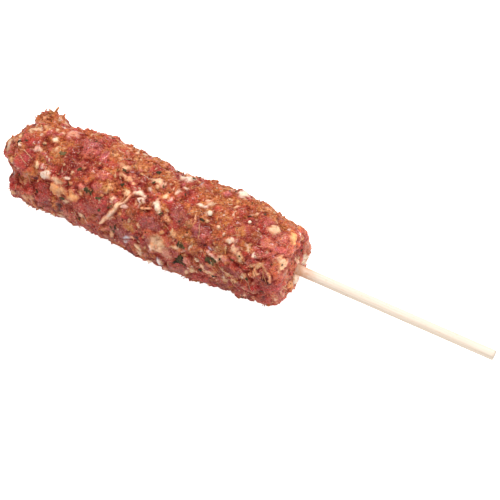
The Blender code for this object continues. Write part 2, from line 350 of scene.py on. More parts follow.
def plainRoll():
    # the frame's roll with its bore filled, remeshed fine and even
    mesh = bmesh.new()
    mesh.from_mesh(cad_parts["meat"].data)
    plugStart = stickStart - stickAlong * 1.5
    plugEnd = mouthCentre - stickAlong * 0.3
    lie = Vector((0, 0, 1)).rotation_difference(stickAlong).to_matrix().to_4x4()
    place = Matrix.Translation((plugStart + plugEnd) / 2 * mm) @ lie
    radius = (stickRadius + 0.8) * mm
    depth = (plugEnd - plugStart).length * mm
    bmesh.ops.create_cone(mesh, cap_ends=True, segments=24, radius1=radius, radius2=radius,
                          depth=depth, matrix=place)
    data = bpy.data.meshes.new("meatRoll")
    mesh.to_mesh(data)
    mesh.free()
    roll = bpy.data.objects.new("meatRoll", data)
    bpy.context.scene.collection.objects.link(roll)
    remesh = roll.modifiers.new("even", "REMESH")
    remesh.mode = "VOXEL"
    remesh.voxel_size = mince["fineness"] * mm
    graph = bpy.context.evaluated_depsgraph_get()
    fine = bpy.data.meshes.new_from_object(roll.evaluated_get(graph))
    roll.modifiers.clear()
    roll.data = fine
    bpy.data.meshes.remove(data)
    return roll


def readMesh(data):
    points = np.empty(len(data.vertices) * 3)
    data.vertices.foreach_get("co", points)
    edges = np.empty(len(data.edges) * 2, np.int64)
    data.edges.foreach_get("vertices", edges)
    return points.reshape(-1, 3) / mm, edges.reshape(-1, 2)


def readNormals(data):
    normals = np.empty(len(data.vertices) * 3)
    data.vertex_normals.foreach_get("vector", normals)
    return normals.reshape(-1, 3)


def writePoints(data, points):
    data.vertices.foreach_set("co", (points * mm).ravel())
    data.update()


def addValues(data, name, values):
    made = data.attributes.new(name, "FLOAT", "POINT")
    made.data.foreach_set("value", values.astype(np.float32))


def addVectors(data, name, values):
    made = data.attributes.new(name, "FLOAT_VECTOR", "POINT")
    made.data.foreach_set("vector", values.astype(np.float32).ravel())


def addColours(data, name, values):
    made = data.attributes.new(name, "FLOAT_COLOR", "POINT")
    full = np.ones((len(values), 4), np.float32)
    full[:, :3] = values
    made.data.foreach_set("color", full.ravel())


def blended(a, b, amount):
    # colours a moved towards b, by an amount for each point
    return a + (b - a) * np.asarray(amount).reshape(-1, 1)


def picked(table, picks):
    # colours from a table of shares, by a random value from 0 to 1 for each point
    bounds = np.cumsum([share for share, _ in table])
    kinds = np.searchsorted(bounds / bounds[-1], picks).clip(0, len(table) - 1)
    return linear([colour for _, colour in table])[kinds]


def treeOf(points):
    tree = kdtree.KDTree(len(points))
    for number, point in enumerate(points):
        tree.insert(point, number)
    tree.balance()
    return tree


def spotOn(tree, distance, angle, radius=rollRadius + 1.5):
    # the number of the point nearest to a place on the roll
    return tree.find(rollPoint(distance, angle, radius))[1]


def directions(normal, turn):
    # along and across on the surface, at a turn from the roll's length or, on an end, from upright
    start = np.array([0.0, 0.0, 1.0]) if abs(normal[0]) > 0.75 else np.array([1.0, 0.0, 0.0])
    ahead = start - normal * (start @ normal)
    ahead /= np.linalg.norm(ahead)
    side = np.cross(ahead, normal)
    turned = math.radians(turn)
    along = ahead * math.cos(turned) + side * math.sin(turned)
    return along, np.cross(normal, along)


def pathField(surface, path):
    # for each point: how far it is from a path over the surface, in the path's own widths, the
    # path's values there, and how far along it lies
    points = surface["points"] + surface["warp"] * 0.45
    stops = []
    for distance, angle, *rest in path:
        spot = spotOn(surface["tree"], distance, angle)
        stops.append(np.array([*surface["points"][spot], *rest]))
    away = np.full(len(points), 99.0)
    values = np.zeros((len(points), len(path[0]) - 2))
    travel = np.zeros(len(points))
    done = 0.0
    for first, last in zip(stops, stops[1:]):
        step = last[:3] - first[:3]
        length = np.linalg.norm(step)
        part = np.clip((points - first[:3]) @ step / length ** 2, 0.0, 1.0)
        own = first[3:] + part[:, None] * (last[3:] - first[3:])
        gap = np.linalg.norm(points - first[:3] - part[:, None] * step, axis=1)
        gap /= own[:, 0]
        nearer = gap < away
        away[nearer] = gap[nearer]
        values[nearer] = own[nearer]
        travel[nearer] = done + part[nearer] * length
        done += length
    return away, values, travel


def ovalField(surface, spot, length, width, turn, loose):
    # points near a spot, how far each is out, from 0 at the middle to 1 at an oval's rim, and where
    points, normals = surface["points"], surface["normals"]
    along, across = directions(normals[spot], turn)
    found = surface["tree"].find_range(Vector(points[spot]), length * 0.5 + 1.8)
    near = np.array([entry[1] for entry in found])
    near = near[normals[near] @ normals[spot] > 0.2]
    offset = points[near] + surface["warp"][near] * loose - points[spot]
    ahead, aside = offset @ along, offset @ across
    away = (np.abs(2 * ahead / length) ** 2.2 + np.abs(2 * aside / width) ** 2.2) ** (1 / 2.2)
    return near, away + surface["ragged"][near] * min(1.0, 2.6 / width), ahead, aside


def listScraps(surface, chance):
    # every scrap as kind, point's number, length, width and turn, with the laid ones last
    points = surface["points"]
    laid = []
    for kind, places in laidScraps.items():
        for distance, angle, length, width, turn in places:
            laid.append((kind, spotOn(surface["tree"], distance, angle), length, width, turn))
    for kind, distance, angle, radius, length, width, turn in mouthScraps:
        laid.append((kind, spotOn(surface["tree"], distance, angle, radius), length, width, turn))
    places = np.array([points[entry[1]] for entry in laid])
    sizes = np.array([(entry[2] + entry[3]) / 4 for entry in laid])
    strewn = []
    for kind, count, least, most in strewnScraps:
        for _ in range(count):
            spot = int(chance.integers(len(points)))
            length = least + (most - least) * chance.random() ** 1.8
            width = length * chance.uniform(0.35, 0.85)
            turn = chance.uniform(-90, 90)
            gaps = np.linalg.norm(places - points[spot], axis=1) - 0.8 * sizes
            if gaps.min() > 0.3 * length:
                strewn.append((kind, spot, length, width, turn))
    strewn.sort(key=lambda entry: -entry[2] * (0.8 + 0.4 * chance.random()))
    return strewn + laid, len(strewn)


def layScraps(surface, ground, listed, firstLaid, chance):
    # stands each scrap on the ground layer; where scraps meet, the higher one shows
    count = len(ground)
    layer = {"top": ground.copy(), "owner": np.full(count, -1), "rim": np.ones(count),
             "place": np.zeros((count, 3)), "moat": np.zeros(count)}

    def claim(near, height, number, away, along, across):
        shows = height > layer["top"][near]
        chosen = near[shows]
        layer["top"][chosen] = height[shows]
        layer["owner"][chosen] = number
        layer["rim"][chosen] = np.clip(away[shows], 0, 1.3)
        own = np.full(shows.sum(), number)
        layer["place"][chosen] = np.stack([along[shows], across[shows], own], axis=1)

    for number, (kind, spot, length, width, turn) in enumerate(listed):
        look = scraps[kind]
        loose = min(1.1, 0.35 + width / 4.0)
        near, away, ahead, aside = ovalField(surface, spot, length, width, turn, loose)
        stand = look["stand"] * min(1.0, 0.3 + width / 4.5) * chance.uniform(0.7, 1.2)
        height = 0.5 * ground[near] + 0.10
        if number >= firstLaid:
            height = np.maximum(height, ground[near] - 0.1) + 0.05 + 0.3 * look["fat"]
        height = height + stand * (1.0 - np.maximum(away, 0.0) ** 2.4)
        claim(near, height, number, away, ahead, aside)
        if number >= firstLaid:
            groove = np.exp(-((away - 1.12) / 0.18) ** 2) * min(1.0, width / 4.0)
            groove = groove * stand * (1.0 - look["soft"])
            layer["moat"][near] = np.maximum(layer["moat"][near], groove)
    for kind, path in laidStrips:
        away, values, travel = pathField(surface, path)
        near = np.nonzero(away < 1.4)[0]
        height = 0.4 * ground[near] + np.clip(0.5 + 0.16 / values[near, 0], 0.6, 0.85)
        height = height + scraps[kind]["stand"] * (1.0 - away[near] ** 2.2)
        listed.append((kind, 0, 1.0, 1.0, 0.0))
        claim(near, height, len(listed) - 1, away[near], travel[near], away[near])
    kinds = np.array([list(scraps).index(entry[0]) for entry in listed])
    layer["kind"] = kinds[layer["owner"]]
    layer["onScrap"] = layer["owner"] >= 0
    layer["laid"] = layer["owner"] >= firstLaid
    return layer


def lookHere(layer, name, otherwise):
    # one value of the scrap that shows at each point
    values = np.array([look[name] for look in scraps.values()])[layer["kind"]]
    return np.where(layer["onScrap"], values, otherwise)


def readSurface(roll):
    points, edges = readMesh(roll.data)
    points = evened(points, edges, 6)
    writePoints(roll.data, points)
    normals = evened(readNormals(roll.data), edges, 6)
    normals /= np.linalg.norm(normals, axis=1)[:, None]
    warp = np.stack([noiseSum(points, [(weight, size, seed + i) for weight, size, seed in mince["warps"]])
                     for i in range(3)], axis=1)
    distance = points[:, 0] - closedEnd
    bow = rollBow * np.sin(np.pi * np.clip(distance / rollLength, 0, 1))
    angle = np.degrees(np.arctan2(mouthCentre.y - bow - points[:, 1], points[:, 2] - mouthCentre.z))
    return {"points": points, "edges": edges, "normals": normals, "tree": treeOf(points), "warp": warp,
            "ragged": noiseSum(points, mince["rags"]), "distance": distance, "angle": angle}


def leanLayer(surface):
    # lean meat in pressed patches, under everything else
    points, warp = surface["points"], surface["warp"]
    lumpNear, _ = cellNoise(points + 1.2 * warp, mince["lumps"], 3)
    patchNear, patchPick = cellNoise(points + 1.1 * warp, mince["patches"], 13)
    knobNear, knobPick = cellNoise(points + 0.6 * warp, mince["knobs"], 17)
    ground = mince["lumpStand"] * (0.9 - 1.6 * lumpNear) + mince["patchStand"] * (0.8 - 1.5 * patchNear)
    ground += mince["knobStand"] * (0.9 - 1.6 * knobNear)
    colours = picked(leanPatches, patchPick)
    colours = blended(colours, picked(leanPatches, knobPick), 0.3)
    own = np.floor(patchPick[:, None] * 4096 + [0, 1, 2]).astype(np.int64)
    return ground, colours * (0.86 + 0.3 * scrambled(own, 5))[:, None]


def pasteLayer(surface):
    # seasoned granules: how they stand, and their colours
    points, warp = surface["points"], surface["warp"]
    near, pick = cellNoise(points + 0.3 * warp, mince["granules"], 23)
    fineNear, finePick = cellNoise(points, 0.6 * mince["granules"], 29)
    stand = mince["granuleStand"] * (0.9 - 1.7 * near) + mince["fineStand"] * (0.8 - 1.6 * fineNear)
    stand += mince["crumbStand"] * noiseSum(points, mince["crumbs"])
    return stand, blended(picked(granules, pick), picked(granules, finePick), 0.45)


def coatWithPaste(surface, layer):
    # how far paste hides each point: it lies in patches, most on the upper and back sides, and
    # gathers round the fat; it also gives how far scraps and fat show, and the halo round the fat
    angle, distance, rim = surface["angle"], surface["distance"], layer["rim"]
    upper = rampUp(-np.abs(angle + 25.0), -110.0, -20.0)
    showing = layer["onScrap"] * (1.0 - rampUp(rim, 1.0 - lookHere(layer, "soft", 0.5), 1.08))
    fat = lookHere(layer, "fat", 0.0) * showing
    halo = evened(fat, surface["edges"], 9, 0.6) * (1.0 - fat)
    patch = noiseSum(surface["points"], mince["pastePatches"]) * np.where(layer["laid"], 0.6, 1.0)
    cover = patch + mince["haloPaste"] * halo + lookHere(layer, "hidden", 0.0)
    cover = cover - mince["laidBare"] * layer["laid"] + mince["upperPaste"] * (upper - 0.45)
    cover = cover + mince["rimPaste"] * rim ** 4 * layer["onScrap"]
    bare = rampUp(distance, 96.0, 108.0) * rampUp(angle, -10.0, 20.0) * rampUp(-angle, -120.0, -95.0)
    bare = np.maximum(bare, rampUp(distance, 113.0, 116.5))
    cover -= mince["bareMouth"] * bare
    return rampUp(cover, -0.15, 0.45), showing, fat, halo


def scrapColours(surface, layer, vary):
    # the scraps' own colours, stained towards their rims, with painted shade that makes each raised scrap
    # lighter in its middle and darker towards its rim
    rim, kind = layer["rim"], layer["kind"]
    plain = linear([look["colour"] for look in scraps.values()])
    stain = linear([look["stain"] for look in scraps.values()])
    stained = rampUp(noiseSum(surface["points"], mince["stains"]) + 0.9 * rim ** 2.2, 0.25, 1.05)
    own = blended(plain[kind], stain[kind], stained) * vary[layer["owner"]]
    return own * (1.10 - 0.22 * np.clip(rim, 0, 1) ** 2)[:, None]


def mouthLean(surface, lean):
    # the lean is paler and pinker towards the mouth, most in front
    angle, distance = surface["angle"], surface["distance"]
    front = rampUp(angle, -20.0, 10.0) * rampUp(-angle, -75.0, -55.0)
    pinker = 0.55 * rampUp(distance, 106.0, 115.0) * front
    pinker = np.maximum(pinker, 0.5 * rampUp(distance, 114.0, 117.0))
    return blended(evened(lean, surface["edges"], 5), linear([mince["mouthPink"]]), pinker)


def pasteColours(surface, paste, halo):
    paste = blended(paste, evened(paste, surface["edges"], 12, 0.6), 0.45)
    shift = noiseSum(surface["points"], mince["pasteShifts"])
    for light, amount in (("redPaste", rampUp(shift, 0.0, 0.8)), ("goldPaste", rampUp(-shift, 0.0, 0.8)),
                          ("pasteByFat", np.clip(2.0 * halo, 0, 1))):
        paste = blended(paste, paste * np.array(mince[light]), amount)
    return paste


def pressIn(surface, top, sunkenShade):
    # creases and pits, which lower the surface and darken it with painted shade
    for path in laidCreases:
        away, values, _ = pathField(surface, path)
        dip = np.exp(-away ** 2)
        top -= values[:, 1] * dip
        sunkenShade = np.maximum(sunkenShade, dip)
    for distance, angle, length, width, turn, depth in laidPits:
        spot = spotOn(surface["tree"], distance, angle)
        near, away, _, _ = ovalField(surface, spot, length, width, turn, 0.8)
        dip = np.exp(-(away / 0.8) ** 3)
        top[near] -= depth * dip
        sunkenShade[near] = np.maximum(sunkenShade[near], dip)
    return top, sunkenShade


def makeMeat():
    roll = plainRoll()
    surface = readSurface(roll)
    points, edges, angle, distance = (surface[name] for name in ("points", "edges", "angle", "distance"))
    print("roll remeshed:", len(points), "points")

    chance = np.random.default_rng(mince["seed"])
    ground, lean = leanLayer(surface)
    grain, paste = pasteLayer(surface)
    listed, firstLaid = listScraps(surface, chance)
    layer = layScraps(surface, ground, listed, firstLaid, chance)
    print("scraps laid:", len(listed))

    coat, showing, fat, halo = coatWithPaste(surface, layer)
    vary = chance.uniform(0.84, 1.12, (len(listed), 1)) * chance.uniform(0.95, 1.05, (len(listed), 3))
    vary[firstLaid:] = 1.0 + 0.35 * (vary[firstLaid:] - 1.0)
    tint = blended(mouthLean(surface, lean), scrapColours(surface, layer, vary), showing)
    tint = blended(tint, pasteColours(surface, paste, halo), mince["pasteHides"] * coat)

    # the relief: paste, the fat's folds (with a painted highlight), a moat round each laid scrap, creases
    # and pits (with painted shade)
    folds = noiseSum(points, mince["folds"])
    top = layer["top"] + grain * (0.16 + 0.84 * coat)
    top = top + mince["foldStand"] * fat * folds
    tint = tint * (1.0 + mince["foldHighlight"] * fat * folds)[:, None]
    moat = layer["moat"] * np.where(layer["laid"], 0.3, 1.0)
    top = top - mince["moatDepth"] * moat
    # painted shade in the moats round laid scraps, and on the dark lean
    sunkenShade = np.clip(0.7 * moat, 0.0, 0.6)
    sunkenShade = np.maximum(sunkenShade, 0.8 * showing * (layer["kind"] == list(scraps).index("darkLeanAndShade")))
    top, sunkenShade = pressIn(surface, top, sunkenShade)
    valley = evened(top, edges, 10) - top
    # how much painted shade darkens each point, and where the ridges are for a painted highlight
    creaseShade = np.clip(rampUp(valley, 0.01, 0.27) + 0.75 * sunkenShade, 0, 1)
    ridge = rampUp(-valley, 0.02, 0.25)

    # the light that the wet meat lets through, slow changes over the roll, a painted highlight on ridges
    # and painted light on the mouth's face
    tint = tint * (1.0 + mince["ridgeHighlight"] * ridge[:, None])
    fat = evened(fat, edges, 1)
    juice = blended(np.array([mince["juiceOnLean"]]), np.array([mince["juice"]]), coat)
    juice = blended(juice, np.array([mince["juiceOnFat"]]), fat * (1 - coat))
    shade = 1.0 + mince["mottle"] * layeredNoise(points, 5.0, 91, 3)
    shade *= 1.0 + mince["mouthPaleAndLit"] * rampUp(distance, 112.0, 116.5)
    tint = evened(tint * juice, edges, 1, 0.45) * shade[:, None]
    tinge = layeredNoise(points, 2.2, 95, 3) * (1.0 - 0.85 * fat)
    tint = tint * np.stack([np.ones(len(tinge)), *(1.0 + part * tinge for part in mince["tinge"])], axis=1)

    sunk = 0.12 + 0.3 * rampUp(angle, 55.0, 100.0)
    sunk += 0.5 * rampUp(-angle, 30.0, 60.0) * rampUp(-distance, -116.0, -110.0)
    placed = points + surface["normals"] * (top - sunk)[:, None]
    writePoints(roll.data, keepInBox(roundedRim(placed, distance)))
    addColours(roll.data, "tint", tint)
    addValues(roll.data, "coating", coat)
    addValues(roll.data, "fatness", fat * (1 - coat))
    addValues(roll.data, "fibres", lookHere(layer, "fibre", 0.6) * (1 - 0.8 * coat))
    addValues(roll.data, "creaseShade", creaseShade)
    unowned = points * [1.0, 0.6, 0.6]  # the streaks' places where no scrap lies
    addVectors(roll.data, "scrapPlace", np.where(layer["onScrap"][:, None], layer["place"], unowned))
    roll.data.shade_smooth()
    roll.data.materials.clear()
    roll.data.materials.append(minceMaterial())
    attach(roll, "root")
    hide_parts("meat")
    print("meat made:", len(roll.data.polygons), "faces")
    surface["skin"], _ = readMesh(roll.data)
    surface["skinTree"] = treeOf(surface["skin"])
    surface["out"] = readNormals(roll.data)
    surface["coat"] = coat * (1.0 - layer["laid"])
    surface["tint"] = tint
    return surface


def roundedRim(points, distance):
    # the roll narrows at the mouth, most at its rim
    middle = np.array([mouthCentre.x, mouthCentre.y, mouthCentre.z])
    across = (points - middle) * [0.0, 1.0, 1.0]
    out = np.linalg.norm(across, axis=1) / rollRadius
    inward = mince["rimDraw"] * rampUp(distance, 107.0, 118.0) * np.clip(out, 0, 1.1) ** 2
    return points - across / np.maximum(out * rollRadius, 0.1)[:, None] * inward[:, None]


def keepInBox(points):
    proud = mince["standProud"]
    points[:, 0] = np.clip(points[:, 0], meatLow.x - proud, None)
    points[:, 1] = np.clip(points[:, 1], meatLow.y - proud, meatHigh.y + proud)
    points[:, 2] = np.clip(points[:, 2], 0.0, meatHigh.z + proud)
    return points


# Small bits on the roll, each kind a piece: how many, their sizes in mm, how flat they lie, how
# deep they sit in their own heights, how much their places follow the paste, and their colours
bits = {
    "seasoningGrains": {
        "seed": 21, "count": 9500, "least": 0.25, "most": 0.9, "flat": 0.7, "sunk": 0.42, "uneven": 0.5,
        "onPaste": 0.9, "detail": 0, "own": 0.35,
        "colours": ((0.26, (202, 120, 70)), (0.18, (188, 96, 58)), (0.20, (216, 146, 94)),
                    (0.07, (164, 78, 46)), (0.14, (230, 170, 114)), (0.07, (150, 50, 36)),
                    (0.08, (208, 110, 84))),
    },
    "fatCrumbs": {
        "seed": 22, "count": 500, "least": 0.4, "most": 1.6, "flat": 0.5, "sunk": 0.5, "uneven": 0.4,
        "onPaste": 0.8, "detail": 1, "own": 0.75, "juice": mince["juiceOnFat"],
        "colours": ((0.35, (232, 190, 148)), (0.25, (220, 158, 106)), (0.2, (240, 212, 186)),
                    (0.2, (214, 150, 120))),
    },
    "leanCrumbs": {
        "seed": 23, "count": 500, "least": 0.6, "most": 2.2, "flat": 0.5, "sunk": 0.5, "uneven": 0.4,
        "onPaste": 0.6, "detail": 1, "own": 0.45,
        "colours": ((0.3, (172, 66, 56)), (0.3, (188, 88, 68)), (0.2, (150, 48, 40)),
                    (0.2, (200, 104, 84))),
    },
    "pepperSpecks": {
        "seed": 24, "count": 220, "least": 0.2, "most": 0.5, "flat": 0.7, "sunk": 0.1, "uneven": 0.3,
        "onPaste": 0.3, "detail": 0, "own": 0.9,
        "colours": ((0.5, (58, 38, 26)), (0.3, (84, 54, 32)), (0.2, (40, 30, 24))),
    },
}


def roundBall(detail):
    mesh = bmesh.new()
    bmesh.ops.create_icosphere(mesh, subdivisions=detail + 1, radius=1.0)
    points = np.array([vert.co[:] for vert in mesh.verts])
    faces = np.array([[vert.index for vert in face.verts] for face in mesh.faces])
    mesh.free()
    return points, faces


def makePiece(name, points, faces, material):
    # a piece from points in mm, riding with the whole thing
    data = bpy.data.meshes.new(name)
    data.from_pydata((points * mm).tolist(), [], faces.tolist() if hasattr(faces, "tolist") else faces)
    data.update()
    data.shade_smooth()
    data.materials.append(material)
    piece = bpy.data.objects.new(name, data)
    bpy.context.scene.collection.objects.link(piece)
    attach(piece, "root")
    print(name, "made:", len(data.polygons), "faces")
    return piece


def framesAt(normals, spins):
    # two directions on the surface for each normal, turned by a spin
    helper = np.where(np.abs(normals[:, :1]) > 0.8, [[0.0, 0.0, 1.0]], [[1.0, 0.0, 0.0]])
    ahead = helper - normals * (helper * normals).sum(axis=1)[:, None]
    ahead /= np.linalg.norm(ahead, axis=1)[:, None]
    side = np.cross(normals, ahead)
    along = ahead * np.cos(spins)[:, None] + side * np.sin(spins)[:, None]
    return along, np.cross(normals, along)


def randomSpots(surface, count, chance, weight=1.0, clear=1.5):
    # places on the skin that are clear of the ground
    weight = weight * (surface["skin"][:, 2] > clear)
    return chance.choice(len(weight), count, p=weight / weight.sum())


def randomLength(look, chance):
    return look["least"] + (look["most"] - look["least"]) * chance.random() ** 2


def strewBits(name, surface):
    look = bits[name]
    chance = np.random.default_rng(look["seed"])
    count = look["count"]
    weight = (1.0 - look["onPaste"]) + look["onPaste"] * surface["coat"]
    spots = randomSpots(surface, count, chance, weight, 1.2)
    skin, out = surface["skin"][spots], surface["out"][spots]
    size = look["least"] + (look["most"] - look["least"]) * chance.random(count) ** 1.7
    along, across = framesAt(out, chance.uniform(0, 2 * math.pi, count))
    ball, faces = roundBall(look["detail"])
    shape = ball[None] * (1.0 + look["uneven"] * chance.uniform(-1, 1, (count, len(ball), 1)))
    stretch = [chance.uniform(0.85, 1.5, count), chance.uniform(0.6, 1.0, count),
               look["flat"] * chance.uniform(0.7, 1.2, count)]
    shape = shape * (0.5 * size[:, None, None] * np.stack(stretch, axis=1)[:, None])
    lift = (0.5 - look["sunk"]) * size * look["flat"]
    place = skin + out * lift[:, None] + chance.uniform(-0.2, 0.2, (count, 3))
    points = (place[:, None] + shape[:, :, :1] * along[:, None] + shape[:, :, 1:2] * across[:, None]
              + shape[:, :, 2:] * out[:, None])
    points = keepInBox(points.reshape(-1, 3))
    allFaces = (faces[None] + (np.arange(count) * len(ball))[:, None, None]).reshape(-1, 3)
    piece = makePiece(name, points, allFaces, bitMaterial(name))
    colours = picked(look["colours"], chance.random(count)) * chance.uniform(0.82, 1.12, (count, 1))
    colours = blended(surface["tint"][spots], colours * look.get("juice", mince["juice"]), look["own"])
    addColours(piece.data, "tint", np.repeat(colours, len(ball), axis=0))


def gather(made, points, faces, colour):
    # adds one more bit to those made so far
    made["faces"].extend(tuple(index + len(made["points"]) for index in face) for face in faces)
    made["points"].extend(points)
    made["colours"].extend([colour] * len(points))


def makeGathered(name, made, material):
    piece = makePiece(name, keepInBox(np.array(made["points"])), made["faces"], material)
    addColours(piece.data, "tint", np.array(made["colours"]))


def tubeFaces(rings, sides):
    faces = []
    for ring in range(rings - 1):
        for corner in range(sides):
            a = ring * sides + corner
            b = ring * sides + (corner + 1) % sides
            faces.append((a, b, b + sides, a + sides))
    return faces


# Thin pale strands of sinew and fat, strewn and laid
strands = {
    "seed": 31,
    "count": 320,
    "least": 1.2,
    "most": 7.0,
    "thick": 0.17,
    "step": 0.45,
    "sides": 5,
    "wander": 22,  # degrees that it may turn at each step
    "laidWander": 9,  # the same for the laid ones
    "looseEnds": 0.3,  # how many have an end that stands up, and how far
    "looseLift": 1.3,
    "colours": ((0.4, (226, 176, 140)), (0.3, (214, 146, 104)), (0.15, (240, 208, 184)),
                (0.15, (196, 116, 84))),
}

# Strands laid one by one: distance, angle, length, thickness, turn
laidStrands = (
    (52.5, 40, 6.5, 0.35, -72),
    (61.0, 38, 5.0, 0.42, -18),
    (62.0, 32, 3.5, 0.38, 40),
    (60.5, 34, 3.0, 0.34, -80),
    (72.0, 45, 3.5, 0.3, 30),
    (88.0, 52, 8.0, 0.22, 38),
    (90.0, 56, 8.5, 0.2, 42),
    (92.0, 60, 7.5, 0.2, 35),
    (95.0, 62, 8.0, 0.22, 45),
    (98.0, 66, 7.0, 0.2, 38),
    (101.0, 58, 7.5, 0.2, 30),
    (104.0, 62, 6.5, 0.2, 48),
    (93.0, 70, 7.0, 0.18, 28),
    (99.0, 74, 7.5, 0.2, 36),
    (86.0, 62, 6.0, 0.18, 44),
    (106.0, 70, 6.0, 0.22, 50),
    (80.0, 50, 5.0, 0.2, 60),
    (75.0, 58, 6.0, 0.2, 22),
    (14.0, 62, 7.0, 0.3, 42),
    (9.0, 40, 5.0, 0.24, 38),
    (84.0, 24, 4.0, 0.26, 75),
    (107.0, 46, 7.0, 0.24, 55),
    (110.0, 40, 6.0, 0.24, 62),
    (112.0, 50, 5.0, 0.28, 58),
)


def strandPath(surface, spot, spin, length, wander, chance):
    # steps over the skin from a spot
    skin, out, tree = surface["skin"], surface["out"], surface["skinTree"]
    along, _ = framesAt(out[spot][None], np.array([spin]))
    heading = along[0]
    place = skin[spot].copy()
    path = []
    for _ in range(max(4, int(length / strands["step"]))):
        found = tree.find_n(Vector(place), 6)
        near = [entry[1] for entry in found]
        normal = out[near].mean(axis=0)
        normal /= np.linalg.norm(normal)
        place = place + normal * ((skin[near].mean(axis=0) - place) @ normal)
        path.append((place.copy(), normal))
        heading = heading - normal * (heading @ normal)
        heading /= np.linalg.norm(heading)
        side = np.cross(normal, heading)
        turn = math.radians(chance.uniform(-wander, wander))
        heading = heading * math.cos(turn) + side * math.sin(turn)
        place = place + heading * strands["step"]
    return path


def strandMesh(path, thick, lifts):
    # a tapered round strand through a path's points
    sides = strands["sides"]
    centres = np.array([place + normal * lift for (place, normal), lift in zip(path, lifts)])
    centres[1:-1] = 0.5 * centres[1:-1] + 0.25 * (centres[:-2] + centres[2:])
    points = []
    for number, ((_, normal), centre) in enumerate(zip(path, centres)):
        ahead = centres[min(number + 1, len(path) - 1)] - centres[max(number - 1, 0)]
        side = np.cross(normal, ahead)
        side /= np.linalg.norm(side)
        part = number / (len(path) - 1)
        radius = 0.5 * thick * (0.35 + 0.65 * math.sin(math.pi * min(1.0, 0.12 + part * 0.88)) ** 0.5)
        for corner in range(sides):
            around = 2 * math.pi * corner / sides
            points.append(centre + radius * (side * math.cos(around) + normal * math.sin(around)))
    caps = [tuple(range(sides))[::-1], tuple(range(len(points) - sides, len(points)))]
    return points, caps + tubeFaces(len(path), sides)


def makeStrands(surface):
    chance = np.random.default_rng(strands["seed"])
    made = {"points": [], "faces": [], "colours": []}

    def add(spot, spin, length, thick, wander):
        path = strandPath(surface, spot, spin, length, wander, chance)
        lift = thick * 0.3 + 0.25 * chance.random() ** 2 * np.abs(np.linspace(-1, 1, len(path))) ** 3
        if chance.random() < strands["looseEnds"]:
            lift = lift + strands["looseLift"] * np.linspace(0, 1, len(path)) ** 3
        colour = picked(strands["colours"], np.array([chance.random()])) * chance.uniform(0.85, 1.1)
        gather(made, *strandMesh(path, thick, lift), (colour * mince["juiceOnFat"])[0])

    for distance, angle, length, thick, turn in laidStrands:
        spot = spotOn(surface["skinTree"], distance, angle)
        add(spot, math.radians(-turn), length, thick, strands["laidWander"])
    for spot in randomSpots(surface, strands["count"], chance):
        length = randomLength(strands, chance)
        spin = chance.uniform(0, 2 * math.pi)
        add(spot, spin, length, strands["thick"] * chance.uniform(0.6, 1.5), strands["wander"])
    makeGathered("sinewStrands", made, bitMaterial("sinewStrands"))


# Small torn shreds of meat and fat that stand out from the roll
shreds = {
    "seed": 51,
    "count": 420,
    "least": 0.7,
    "most": 2.2,
    "thick": 0.42,
    "steps": 5,
    "lean": (15, 75),  # degrees from straight out
    "bend": 16,  # degrees that it may bend at each step
    "paleColour": (230, 178, 128),
    "pale": 0.35,  # how much of that colour it has, over the meat's
}

# Shreds laid one by one: distance, angle, radius from the middle line, length, thickness
laidShreds = (
    (11.0, -47, 18.5, 2.6, 1.1), (10.0, -44, 18.0, 1.8, 0.9), (5.5, -40, 15.0, 1.8, 0.6),
    (7.0, -42, 17.0, 1.4, 0.8), (15.0, -44, 18.5, 1.6, 0.9), (17.5, -40, 18.0, 1.4, 0.9),
    (65.0, -48, 19.0, 3.2, 0.35), (66.0, -46, 19.0, 2.2, 0.3), (33.0, -38, 19.0, 1.8, 0.5),
    (8.0, 96, 18.0, 3.0, 0.3), (12.0, 100, 18.5, 2.4, 0.3), (84.0, 104, 19.0, 2.2, 0.5),
)


def shredPath(place, normal, length, chance):
    # steps out from the skin, bending on the way
    steps, bend = shreds["steps"], shreds["bend"]
    along, _ = framesAt(normal[None], np.array([chance.uniform(0, 2 * math.pi)]))
    tilt = math.radians(chance.uniform(*shreds["lean"]))
    path = []
    for _ in range(steps):
        tilt += math.radians(chance.uniform(-bend, bend))
        heading = normal * math.cos(tilt) + along[0] * math.sin(tilt)
        path.append((place.copy(), along[0]))
        place = place + heading * length / (steps - 1)
    return path


def makeShreds(surface):
    chance = np.random.default_rng(shreds["seed"])
    made = {"points": [], "faces": [], "colours": []}
    pale = linear([shreds["paleColour"]]) * mince["juiceOnFat"]

    def add(spot, length, thick):
        place = surface["skin"][spot] - 0.2 * surface["out"][spot]
        path = shredPath(place, surface["out"][spot], length, chance)
        colour = blended(surface["tint"][spot][None], pale, shreds["pale"] * chance.uniform(0.2, 1.8))
        colour = colour[0] * chance.uniform(0.9, 1.2)
        gather(made, *strandMesh(path, thick, np.zeros(len(path))), colour)

    for distance, angle, radius, length, thick in laidShreds:
        add(spotOn(surface["skinTree"], distance, angle, radius), length, thick)
    for spot in randomSpots(surface, shreds["count"], chance):
        length = randomLength(shreds, chance)
        add(spot, length, shreds["thick"] * chance.uniform(0.5, 1.4))
    makeGathered("tornShreds", made, bitMaterial("tornShreds"))


# Flakes of dried herb
herbs = {
    "seed": 41,
    "count": 185,
    "least": 0.5,
    "most": 1.9,
    "thick": 0.12,
    "corners": 11,
    "curl": 0.25,
    "clusterOver": 6.0,  # a laid one of more than this many square mm is a cluster of flakes
    "clusterFlakes": 7,
    "clusterSpread": 0.26,  # how far they lie from its middle, in its lengths
    "clusterLength": 0.5,  # how long and how wide each is, as a part of its own size
    "clusterWidth": 0.44,
    "spins": (0, 6.28),  # any turn, in radians
    "colours": ((0.4, (62, 52, 30)), (0.3, (76, 66, 38)), (0.2, (48, 38, 24)), (0.1, (96, 80, 48))),
}

